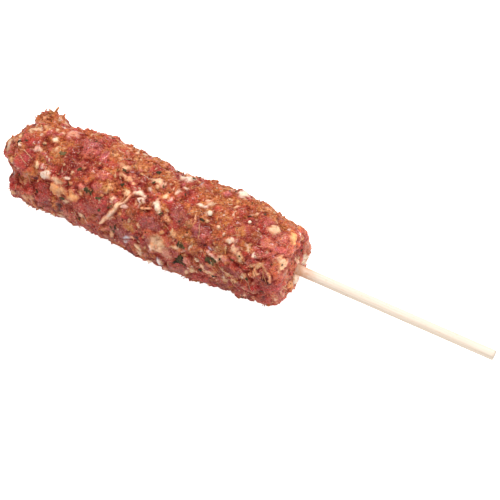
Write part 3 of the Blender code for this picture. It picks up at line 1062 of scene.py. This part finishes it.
# The herb flakes that show most, picked from a longer measured list and rounded: distance, angle,
# length, width, turn
laidHerbs = (
    (6, 25, 2, 1, -40), (19, 75, 2, 1, 35), (25, 15, 3, 2, -45), (31, 70, 2, 2, 70),
    (40, 45, 4, 3, -70), (45, 45, 3, 1, -25), (50, 5, 3, 1, 15), (53, 75, 3, 1, 80),
    (60, -15, 2, 2, 20), (69, 35, 2, 1, -40), (72, -30, 2, 1, -40), (84, 20, 3, 1, 15),
    (80, 58, 4, 4, -25), (81, 75, 3, 3, -30), (81, 84, 5, 3, 70), (91, 62, 5, 3, 40),
    (94, 83, 3, 1, -20), (98, -10, 2, 1, -25), (107, 65, 2, 1, 65), (117, -130, 3, 1, 70),
)


def flakeMesh(surface, spot, spin, length, width, chance):
    # a ragged leaf bit that follows the skin: a top and a bottom of two rings round a middle
    skin, out, tree = surface["skin"], surface["out"], surface["skinTree"]
    corners = herbs["corners"]
    normal = out[spot]
    along, across = framesAt(normal[None], np.array([spin]))
    rim = chance.uniform(0.5, 1.2, corners)
    flat = [(0.0, 0.0, 0.0)]
    for part in (0.55, 1.0):
        for corner in range(corners):
            around = 2 * math.pi * (corner + 0.5 * part + chance.uniform(-0.2, 0.2)) / corners
            reach = 0.5 * part * (rim[corner] if part == 1.0 else 1.0)
            flat.append((length * reach * math.cos(around), width * reach * math.sin(around), part))
    tops, unders = [], []
    lean = chance.uniform(-1, 1)
    for ahead, aside, part in flat:
        place = skin[spot] + along[0] * ahead + across[0] * aside
        found = tree.find_n(Vector(place), 8)
        level = np.mean([(skin[entry[1]] - place) @ normal for entry in found])
        level += 0.16 + herbs["curl"] * part ** 2 * chance.uniform(-0.3, 1.0) * (0.6 + 0.4 * lean)
        tops.append(place + normal * (level + herbs["thick"] / 2))
        unders.append(place + normal * (level - herbs["thick"] / 2))
    faces = []
    for corner in range(corners):
        nextCorner = (corner + 1) % corners
        inner, innerNext = 1 + corner, 1 + nextCorner
        outer, outerNext = inner + corners, innerNext + corners
        below = len(tops)
        faces += [(0, inner, innerNext), (inner, outer, outerNext, innerNext)]
        faces += [(below, below + innerNext, below + inner),
                  (below + inner, below + innerNext, below + outerNext, below + outer)]
        faces.append((outer, below + outer, below + outerNext, outerNext))
    return tops + unders, faces


def makeHerbs(surface):
    chance = np.random.default_rng(herbs["seed"])
    made = {"points": [], "faces": [], "colours": []}

    def add(spot, spin, length, width):
        points, faces = flakeMesh(surface, spot, spin, length, width, chance)
        colour = picked(herbs["colours"], np.array([chance.random()])) * chance.uniform(0.85, 1.15)
        gather(made, points, faces, colour[0])

    for distance, angle, length, width, turn in laidHerbs:
        spot = spotOn(surface["skinTree"], distance, angle)
        if length * width <= herbs["clusterOver"]:
            add(spot, math.radians(-turn), length, width)
            continue
        spread = herbs["clusterSpread"]
        for _ in range(herbs["clusterFlakes"]):
            shifted = surface["skin"][spot] + chance.uniform(-spread, spread, 3) * length
            part = surface["skinTree"].find(Vector(shifted))[1]
            spin = chance.uniform(*herbs["spins"])
            add(part, spin, length * herbs["clusterLength"], width * herbs["clusterWidth"])
    for spot in randomSpots(surface, herbs["count"], chance):
        length = randomLength(herbs, chance)
        add(spot, chance.uniform(*herbs["spins"]), length, length * chance.uniform(0.4, 0.9))
    makeGathered("herbFlakes", made, herbMaterial())


# Round white seeds, their places measured: distance, angle, length, width, height
seeds = {
    "detail": 3,
    "uneven": 0.04,
    "spin": 0.6,
    "lift": 0.22,  # how far the middle stands off the skin, in its own heights
    "laid": ((85.5, 11, 1.8, 2.1, 1.3), (99.0, 2, 1.3, 1.2, 0.9)),
}


def makeSeeds(surface):
    ball, ballFaces = roundBall(seeds["detail"])
    points, faces = [], []
    for number, (distance, angle, length, width, height) in enumerate(seeds["laid"]):
        spot = spotOn(surface["skinTree"], distance, angle)
        out = surface["out"][spot]
        along, across = framesAt(out[None], np.array([seeds["spin"]]))
        lumps = layeredNoise(ball * 2.0 + 10 * number, 1.6, 300)
        shape = ball * (1.0 + seeds["uneven"] * lumps)[:, None] * 0.5 * np.array([length, width, height])
        place = surface["skin"][spot] + out * seeds["lift"] * height
        faces.append(ballFaces + len(ball) * number)
        points.append(place + shape[:, :1] * along + shape[:, 1:2] * across + shape[:, 2:] * out)
    points = keepInBox(np.concatenate(points))
    makePiece("whiteSeeds", points, np.concatenate(faces), seedMaterial())


stickLook = {
    "sides": 72,
    "rings": 300,
    "unevenness": 0.045,
    "chamfer": 0.25,
    "chamferDepth": 0.6,  # how far the ends are drawn in, in chamfers
    "ridgeRun": 0.08,  # how fast the ridges change along it, against round it
    "ridgeRound": 2.0,
    "stainLength": 11.0,  # how far the meat's juice has crept out along it
    "stainEdge": 2.5,  # how far the stain's edge wanders
}


def makeStick():
    # the frame's rod again, with the small ridges of split wood and a cut end
    sides, chamfer, unevenness = stickLook["sides"], stickLook["chamfer"], stickLook["unevenness"]
    length = (stickTip - stickStart).length
    start, tip, ahead = (np.array(value) for value in (stickStart, stickTip, stickAlong))
    side = np.array(stickAlong.cross(Vector((0, 0, 1))).normalized())
    up = np.cross(side, ahead)
    travel = np.linspace(chamfer, length - chamfer, stickLook["rings"])
    travel = np.concatenate([[0.0], travel, [length]])
    around = np.linspace(0, 2 * math.pi, sides, endpoint=False)
    radius = np.full((len(travel), sides), stickRadius - unevenness)
    for end in (0, -1):
        radius[end] -= chamfer * stickLook["chamferDepth"]
    run, wide = stickLook["ridgeRun"], stickLook["ridgeRound"]
    where = np.stack([np.repeat(travel[:, None] * run, sides, axis=1),
                      np.repeat(np.cos(around)[None] * wide, len(travel), axis=0),
                      np.repeat(np.sin(around)[None] * wide, len(travel), axis=0)], axis=2).reshape(-1, 3)
    ridges = layeredNoise(where, 0.55, 401, 2) * 0.7 + layeredNoise(where, 2.0, 402) * 0.3
    radius += unevenness * ridges.reshape(radius.shape)
    spokes = np.cos(around)[:, None] * side + np.sin(around)[:, None] * up
    rim = start + travel[:, None, None] * ahead + radius[:, :, None] * spokes[None]
    points = np.concatenate([rim.reshape(-1, 3), [start], [tip]])
    faces = tubeFaces(len(travel), sides)
    last = (len(travel) - 1) * sides
    for corner in range(sides):
        nextCorner = (corner + 1) % sides
        faces.append((nextCorner, corner, len(points) - 2))
        faces.append((last + corner, last + nextCorner, len(points) - 1))
    piece = makePiece("bareStick", points, faces, woodMaterial())
    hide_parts("stick")
    fromMouth = np.concatenate([np.repeat(travel, sides), [0.0, length]])
    fromMouth -= (mouthCentre - stickStart).length
    fromMouth += stickLook["stainEdge"] * layeredNoise(points, 3.0, 410)
    stain = 1.0 - rampUp(fromMouth, 0.0, stickLook["stainLength"])
    addValues(piece.data, "stain", stain)
    addVectors(piece.data, "woodPlace", np.stack([points @ ahead, points @ side, points @ up], axis=1))


def newMaterial(name):
    material = bpy.data.materials.new(name)
    material.use_nodes = True
    tree = material.node_tree
    tree.nodes.clear()
    output = tree.nodes.new("ShaderNodeOutputMaterial")
    shader = tree.nodes.new("ShaderNodeBsdfPrincipled")
    tree.links.new(shader.outputs["BSDF"], output.inputs["Surface"])
    return material, tree, shader


def setInputs(tree, made, inputs):
    # an output of another node is linked, anything else is the socket's own value
    for name, value in dict(inputs).items():
        if isinstance(value, bpy.types.NodeSocket):
            tree.links.new(value, made.inputs[name])
        else:
            made.inputs[name].default_value = value


def node(tree, kind, inputs=(), **settings):
    made = tree.nodes.new(kind)
    for name, value in settings.items():
        setattr(made, name, value)
    setInputs(tree, made, inputs)
    return made


def times(tree, a, b):
    return node(tree, "ShaderNodeMath", {0: a, 1: b}, operation="MULTIPLY").outputs[0]


def plus(tree, a, b):
    return node(tree, "ShaderNodeMath", {0: a, 1: b}, operation="ADD").outputs[0]


def between(tree, value, low, high, toLow=0.0, toHigh=1.0):
    made = node(tree, "ShaderNodeMapRange", {"Value": value, "From Min": low, "From Max": high,
                                             "To Min": toLow, "To Max": toHigh})
    return made.outputs[0]


def noise(tree, place, scale, detail, roughness=0.5):
    made = node(tree, "ShaderNodeTexNoise", {"Vector": place, "Scale": scale, "Detail": detail,
                                             "Roughness": roughness})
    return made.outputs[0]


def stretched(tree, place, scale):
    return node(tree, "ShaderNodeMapping", {"Vector": place, "Scale": scale}).outputs[0]


def mixed(tree, amount, a, b, blend="MIX"):
    made = node(tree, "ShaderNodeMix", {0: amount, 6: a, 7: b}, data_type="RGBA", blend_type=blend)
    return made.outputs[2]


def lit(tree, colour, light):
    return mixed(tree, 1.0, colour, light, "MULTIPLY")


def bumped(tree, height, strength, depth):
    made = node(tree, "ShaderNodeBump", {"Height": height, "Strength": strength, "Distance": depth * mm})
    return made.outputs[0]


def paint(colour):
    return (*linear(colour), 1.0)


def attribute(tree, name, output="Fac"):
    return node(tree, "ShaderNodeAttribute", attribute_name=name).outputs[output]


def objectPlace(tree):
    return node(tree, "ShaderNodeTexCoord").outputs["Object"]


def grey(tree, value):
    return node(tree, "ShaderNodeCombineColor", {"Red": value, "Green": value, "Blue": value}).outputs[0]


def lightRange(tree, value, low, high, darkest, lightest):
    # a colour to multiply by, so that dark places are also redder and light ones paler
    parts = [between(tree, value, low, high, *ends) for ends in zip(darkest, lightest)]
    return node(tree, "ShaderNodeCombineColor", dict(zip(("Red", "Green", "Blue"), parts))).outputs[0]


minceFinish = {
    "streaks": (1.0, 3.0, 0.6),  # this noise and those below: scale, detail, roughness
    "streakStretch": (0.35, 2.6, 3.0),
    "streakLight": ((0.76, 0.66, 0.64), (1.30, 1.40, 1.42)),  # the darkest and the lightest
    "mottle": (1900.0, 4.0, 0.7),
    "mottleOfLean": ((0.58, 0.42, 0.40), (1.42, 1.62, 1.62)),
    "mottleOfFat": ((0.88, 0.74, 0.62), (1.10, 1.18, 1.26)),
    "tinge": (1250.0, 2.0, 0.6),
    "tingeLight": ((0.98, 0.90, 1.24), (1.03, 1.07, 0.74)),
    "spotScale": 2000.0,
    "orangeSpot": (222, 146, 84),
    "redSpot": (140, 40, 32),
    "paleSpeckAndGlint": (238, 196, 160),
    # painted glints: pale specks in the colour that stand in for highlights
    "sheen": (2600.0, 2.0, 0.5),
    "sheenColour": (238, 190, 166),
    # painted shade: what the colour in creases, moats and pits is multiplied by
    "creaseShadeColour": (0.52, 0.09, 0.05, 1.0),
    "wet": (620.0, 3.0, 0.5),
    "pebbleScale": 2200.0,
    "reliefDepth": 0.34,
    "shader": {
        "Subsurface Weight": 0.18,
        "Subsurface Radius": (1.0, 0.35, 0.22),
        "Subsurface Scale": 0.7 * mm,
        "Specular IOR Level": 0.22,
        "Coat Weight": 0.24,
        "Coat Roughness": 0.12,
    },
}


def minceMaterial():
    look = minceFinish
    material, tree, shader = newMaterial("rawMince")
    place = objectPlace(tree)
    tint = attribute(tree, "tint", "Color")
    coating, fatness, fibres = (attribute(tree, name) for name in ("coating", "fatness", "fibres"))

    # muscle fibres: streaks along each scrap
    along = stretched(tree, attribute(tree, "scrapPlace", "Vector"), look["streakStretch"])
    streaks = noise(tree, along, *look["streaks"])
    streaked = lit(tree, tint, lightRange(tree, streaks, 0.35, 0.68, *look["streakLight"]))
    colour = mixed(tree, fibres, tint, streaked)

    # fine mottling everywhere, less of it on the fat
    mottle = noise(tree, place, *look["mottle"])
    onLean = lit(tree, colour, lightRange(tree, mottle, 0.3, 0.7, *look["mottleOfLean"]))
    onFat = lit(tree, colour, lightRange(tree, mottle, 0.3, 0.7, *look["mottleOfFat"]))
    colour = mixed(tree, fatness, onLean, onFat)

    # some places are more orange, some more crimson
    tinged = lightRange(tree, noise(tree, place, *look["tinge"]), 0.34, 0.66, *look["tingeLight"])
    colour = mixed(tree, between(tree, fatness, 0.0, 0.8, 1.0, 0.2), colour, tinged, "MULTIPLY")

    # specks of seasoning, of red, and pale ones that are partly fat and partly painted glints
    grains = node(tree, "ShaderNodeTexVoronoi", {"Vector": place, "Scale": look["spotScale"]})
    pick = node(tree, "ShaderNodeSeparateColor", {"Color": grains.outputs["Color"]})
    near = between(tree, grains.outputs["Distance"], 0.45, 0.25)
    orangeSpot = times(tree, between(tree, pick.outputs[0], 0.66, 0.74), near)
    orangeSpot = times(tree, orangeSpot, between(tree, coating, 0.1, 0.8, 0.2, 0.9))
    colour = mixed(tree, orangeSpot, colour, paint(look["orangeSpot"]))
    redSpot = times(tree, between(tree, pick.outputs[1], 0.72, 0.8), near)
    redSpot = times(tree, redSpot, between(tree, fatness, 0.1, 0.7, 0.6, 0.1))
    colour = mixed(tree, redSpot, colour, paint(look["redSpot"]))
    paleSpeckAndGlint = times(tree, between(tree, pick.outputs[2], 0.92, 0.96), near)
    colour = mixed(tree, times(tree, paleSpeckAndGlint, 0.5), colour, paint(look["paleSpeckAndGlint"]))

    # painted glints: pale specks in the colour that stand in for highlights on wet grease
    glint = between(tree, noise(tree, place, *look["sheen"]), 0.60, 0.67, 0.0, 0.5)
    glint = times(tree, glint, between(tree, coating, 0.0, 0.9, 1.0, 0.6))
    colour = mixed(tree, glint, colour, paint(look["sheenColour"]))

    # painted shade: creases, moats and pits are darkened and made redder, less so under paste
    paintedCreaseShade = times(tree, attribute(tree, "creaseShade"), between(tree, coating, 0.0, 1.0, 0.95, 0.68))
    colour = mixed(tree, paintedCreaseShade, colour, lit(tree, colour, look["creaseShadeColour"]))

    wet = between(tree, noise(tree, place, *look["wet"]), 0.35, 0.65, 0.24, 0.48)
    pebbles = node(tree, "ShaderNodeTexVoronoi", {"Vector": place, "Scale": look["pebbleScale"]})
    relief = plus(tree, times(tree, pebbles.outputs["Distance"], -0.6), times(tree, mottle, 0.8))
    relief = plus(tree, relief, times(tree, times(tree, streaks, fibres), 0.6))
    setInputs(tree, shader, {
        "Base Color": colour,
        "Roughness": plus(tree, wet, times(tree, coating, 0.08)),
        "Normal": bumped(tree, relief, 1.0, look["reliefDepth"]),
        **look["shader"],
    })
    return material


# the scale of the mottling, its darkest and lightest, the roughness, light let through, wetness
bitFinish = {
    "seasoningGrains": {"scale": 2600.0, "light": (0.72, 1.3), "rough": 0.42, "through": 0.12, "wet": 0.12},
    "fatCrumbs": {"scale": 1700.0, "light": (0.84, 1.14), "rough": 0.34, "through": 0.25, "wet": 0.14},
    "leanCrumbs": {"scale": 1500.0, "light": (0.66, 1.34), "rough": 0.32, "through": 0.15, "wet": 0.14},
    "pepperSpecks": {"scale": 3000.0, "light": (0.6, 1.5), "rough": 0.6, "through": 0.0, "wet": 0.1},
    "tornShreds": {"scale": 1800.0, "light": (0.7, 1.3), "rough": 0.36, "through": 0.2, "wet": 0.14},
    "sinewStrands": {"scale": 1800.0, "light": (0.82, 1.16), "rough": 0.36, "through": 0.25, "wet": 0.12},
}


def bitMaterial(name):
    # the finish of a kind of small bits: mottled, a little see-through, wet
    look = bitFinish[name]
    material, tree, shader = newMaterial(name + "Finish")
    mottle = noise(tree, objectPlace(tree), look["scale"], 3.0, 0.65)
    light = grey(tree, between(tree, mottle, 0.32, 0.68, *look["light"]))
    setInputs(tree, shader, {
        "Base Color": lit(tree, attribute(tree, "tint", "Color"), light),
        "Roughness": between(tree, mottle, 0.3, 0.7, look["rough"] - 0.08, look["rough"] + 0.08),
        "Subsurface Weight": look["through"],
        "Subsurface Radius": (1.0, 0.45, 0.3),
        "Subsurface Scale": 0.4 * mm,
        "Specular IOR Level": 0.3,
        "Coat Weight": look["wet"],
        "Coat Roughness": 0.12,
        "Normal": bumped(tree, mottle, 0.5, 0.08),
    })
    return material


def herbMaterial():
    material, tree, shader = newMaterial("driedHerb")
    place = objectPlace(tree)
    veins = noise(tree, place, 1600.0, 4.0, 0.7)
    light = grey(tree, between(tree, veins, 0.3, 0.7, 0.5, 1.6))
    browned = between(tree, noise(tree, place, 700.0, 2.0), 0.52, 0.7, 0.0, 0.55)
    colour = mixed(tree, browned, lit(tree, attribute(tree, "tint", "Color"), light), paint((118, 84, 52)))
    setInputs(tree, shader, {
        "Base Color": colour,
        "Roughness": between(tree, veins, 0.3, 0.7, 0.45, 0.7),
        "Specular IOR Level": 0.15,
        "Normal": bumped(tree, veins, 0.8, 0.12),
    })
    return material


def seedMaterial():
    material, tree, shader = newMaterial("whiteSeed")
    cloud = noise(tree, objectPlace(tree), 900.0, 3.0)
    clouded = between(tree, cloud, 0.4, 0.68)
    setInputs(tree, shader, {
        "Base Color": mixed(tree, clouded, paint((236, 214, 190)), paint((222, 178, 140))),
        "Roughness": between(tree, cloud, 0.3, 0.7, 0.3, 0.5),
        "Subsurface Weight": 0.3,
        "Subsurface Radius": (1.0, 0.7, 0.5),
        "Subsurface Scale": 0.5 * mm,
        "Normal": bumped(tree, cloud, 0.4, 0.08),
    })
    return material


def woodMaterial():
    material, tree, shader = newMaterial("paleWood")
    place = attribute(tree, "woodPlace", "Vector")
    grain = noise(tree, stretched(tree, place, (0.06, 2.2, 2.2)), 1.0, 4.0, 0.6)
    fleck = noise(tree, stretched(tree, place, (0.8, 2.6, 2.6)), 1.0, 2.0)
    blot = noise(tree, place, 0.9, 3.0)
    colour = mixed(tree, between(tree, grain, 0.35, 0.7), paint((231, 216, 200)), paint((216, 199, 181)))
    colour = mixed(tree, between(tree, fleck, 0.62, 0.72, 0.0, 0.5), colour, paint((222, 182, 146)))
    stained = times(tree, attribute(tree, "stain"), between(tree, blot, 0.3, 0.62, 0.35, 1.0))
    setInputs(tree, shader, {
        "Base Color": mixed(tree, stained, colour, paint((206, 148, 104))),
        "Roughness": between(tree, grain, 0.3, 0.7, 0.55, 0.7),
        "Normal": bumped(tree, grain, 0.5, 0.08),
    })
    return material


studio = {
    "floorColour": (238, 237, 236),
    "floorBounce": (238, 236, 233),  # the light it throws back is less
    "floorGlow": 0.9,  # the paper is bright to look at, so shadows stay faint
    "worldLight": 0.92,
    "roomInGloss": 0.06,
    "keyPower": 7.3,
    "keySize": 0.3,
    "keyPlace": (-0.12, 0.3, 0.95),
    "cameraTurn": 28.29,  # degrees round, from straight in front
    "cameraHeight": 56.9,  # degrees above the floor
    "cameraAway": 1.0,
    "cameraAim": (0.00093, 0.00034, 0.017),
    "lens": 198,
}


def makeStudio():
    scene = bpy.context.scene
    scene.view_settings.view_transform = "Standard"
    world = bpy.data.worlds.new("studioWorld")
    scene.world = world
    world.use_nodes = True
    tree = world.node_tree
    back = tree.nodes["Background"]
    back.inputs["Color"].default_value = (1.0, 0.995, 0.985, 1.0)
    # gloss sees a darker room, so wet places mirror the lamp and not the walls
    glossy = node(tree, "ShaderNodeLightPath").outputs["Is Glossy Ray"]
    strength = between(tree, glossy, 0.0, 1.0, studio["worldLight"], studio["roomInGloss"])
    tree.links.new(strength, back.inputs["Strength"])

    bpy.ops.mesh.primitive_plane_add(size=6.0, location=(0, 0, 0))
    floor = bpy.context.object
    floor.name = "studioFloor"
    material, tree, shader = newMaterial("floorPaper")
    seen = node(tree, "ShaderNodeLightPath").outputs["Is Camera Ray"]
    setInputs(tree, shader, {
        "Base Color": mixed(tree, seen, paint(studio["floorBounce"]), paint(studio["floorColour"])),
        "Roughness": 0.9,
        "Specular IOR Level": 0.1,
        "Emission Color": (1.0, 1.0, 1.0, 1.0),
        "Emission Strength": between(tree, seen, 0.0, 1.0, 0.0, studio["floorGlow"]),
    })
    floor.data.materials.append(material)

    light = bpy.data.lights.new("keyLight", "AREA")
    light.energy = studio["keyPower"]
    light.size = studio["keySize"]
    key = bpy.data.objects.new("keyLight", light)
    scene.collection.objects.link(key)
    key.location = studio["keyPlace"]
    key.rotation_euler = (-Vector(studio["keyPlace"])).to_track_quat("-Z", "Y").to_euler()

    turn = math.radians(studio["cameraTurn"])
    height = math.radians(studio["cameraHeight"])
    away = Vector((math.sin(turn) * math.cos(height), -math.cos(turn) * math.cos(height), math.sin(height)))
    camera = bpy.data.objects.new("camera", bpy.data.cameras.new("camera"))
    scene.collection.objects.link(camera)
    camera.data.lens = studio["lens"]
    camera.data.sensor_width = 36
    camera.location = Vector(studio["cameraAim"]) + away * studio["cameraAway"]
    camera.rotation_euler = away.to_track_quat("Z", "Y").to_euler()
    scene.camera = camera


makeStudio()
surface = makeMeat()
for name in bits:
    strewBits(name, surface)
makeStrands(surface)
makeShreds(surface)
makeHerbs(surface)
makeSeeds(surface)
makeStick()
